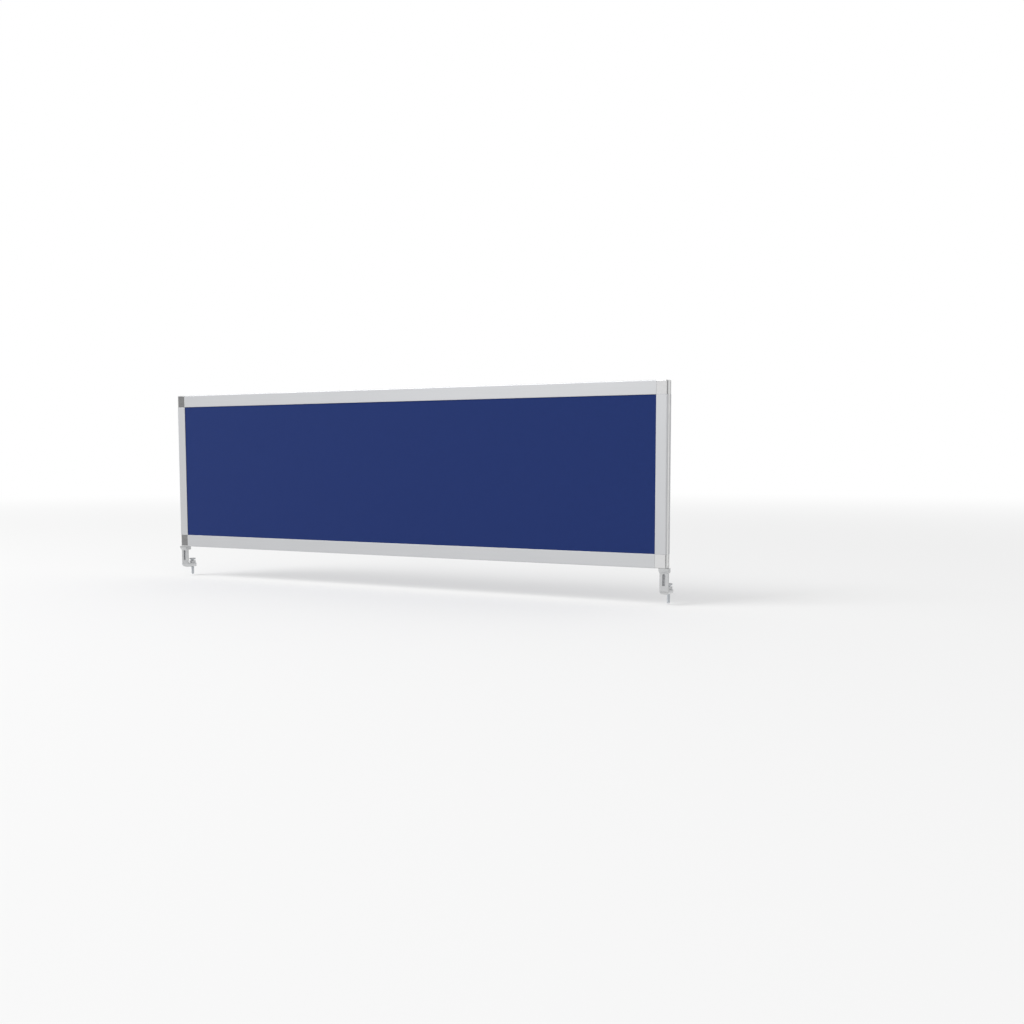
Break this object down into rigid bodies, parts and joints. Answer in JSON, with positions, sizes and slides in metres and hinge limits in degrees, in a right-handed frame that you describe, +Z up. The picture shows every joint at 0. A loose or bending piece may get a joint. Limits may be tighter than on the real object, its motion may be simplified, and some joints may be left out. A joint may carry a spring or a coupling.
{
  "type": "desk screen",
  "caption": "Fabric-covered privacy screen in an aluminium frame with corner connectors, held on a tabletop's rear edge by screw clamps with swivelling pads.",
  "frame": {"origin": "midway along the screen, midway through its thickness, on the plane of the tabletop's upper surface that the clamps' seats rest on", "axes": "+X along the screen to its right seen from its outer side, -Y towards the outer side, +Y towards the desk's user, +Z up"},
  "size_m": [1.408, 0.0465, 0.484],
  "materials": {
    "profile_aluminium": "satin",
    "cast_connector": "satin",
    "clamp_metal": "satin",
    "strip_plastic": "satin",
    "felt_board": "matte",
    "blue_cloth": "matte",
    "grey_rubber": "matte",
    "zinc_steel": "satin"
  },
  "bodies": {
    "screen": {"top_rail": "profile_aluminium", "bottom_rail": "profile_aluminium", "left_stile": "profile_aluminium", "right_stile": "profile_aluminium", "left_groove_strip": "strip_plastic", "right_groove_strip": "strip_plastic", "top_left_corner": "cast_connector", "top_right_corner": "cast_connector", "bottom_left_corner": "cast_connector", "bottom_right_corner": "cast_connector", "panel_core": "felt_board", "outer_cloth": "blue_cloth", "inner_cloth": "blue_cloth", "left_clamp_bracket": "clamp_metal", "right_clamp_bracket": "clamp_metal", "left_clamp_liner": "grey_rubber", "right_clamp_liner": "grey_rubber", "left_fixing_screws": "zinc_steel", "right_fixing_screws": "zinc_steel"},
    "left_pad": {"left_pad_plate": "zinc_steel", "left_pad_face": "grey_rubber"},
    "left_screw": {"left_clamp_screw": "zinc_steel"},
    "right_pad": {"right_pad_plate": "zinc_steel", "right_pad_face": "grey_rubber"},
    "right_screw": {"right_clamp_screw": "zinc_steel"}
  },
  "joints": [
    {"name": "left_pad_slide", "type": "slide", "parent": "screen", "child": "left_pad", "axis": [0, 0, 1], "range_m": [-0.002, 0.015]},
    {"name": "left_screw_spin", "type": "hinge", "parent": "left_pad", "child": "left_screw", "pos_m": [-0.6935, 0.023, -0.048], "axis": [0, 0, 1], "range_deg": [-576, 4320]},
    {"name": "right_pad_slide", "type": "slide", "parent": "screen", "child": "right_pad", "axis": [0, 0, 1], "range_m": [-0.002, 0.015]},
    {"name": "right_screw_spin", "type": "hinge", "parent": "right_pad", "child": "right_screw", "pos_m": [0.6935, 0.023, -0.048], "axis": [0, 0, 1], "range_deg": [-576, 4320]}
  ],
  "couplings": [
    {"joint": "left_screw_spin", "follows": "left_pad_slide", "rad_per_m": 5026.5},
    {"joint": "right_screw_spin", "follows": "right_pad_slide", "rad_per_m": 5026.5}
  ]
}
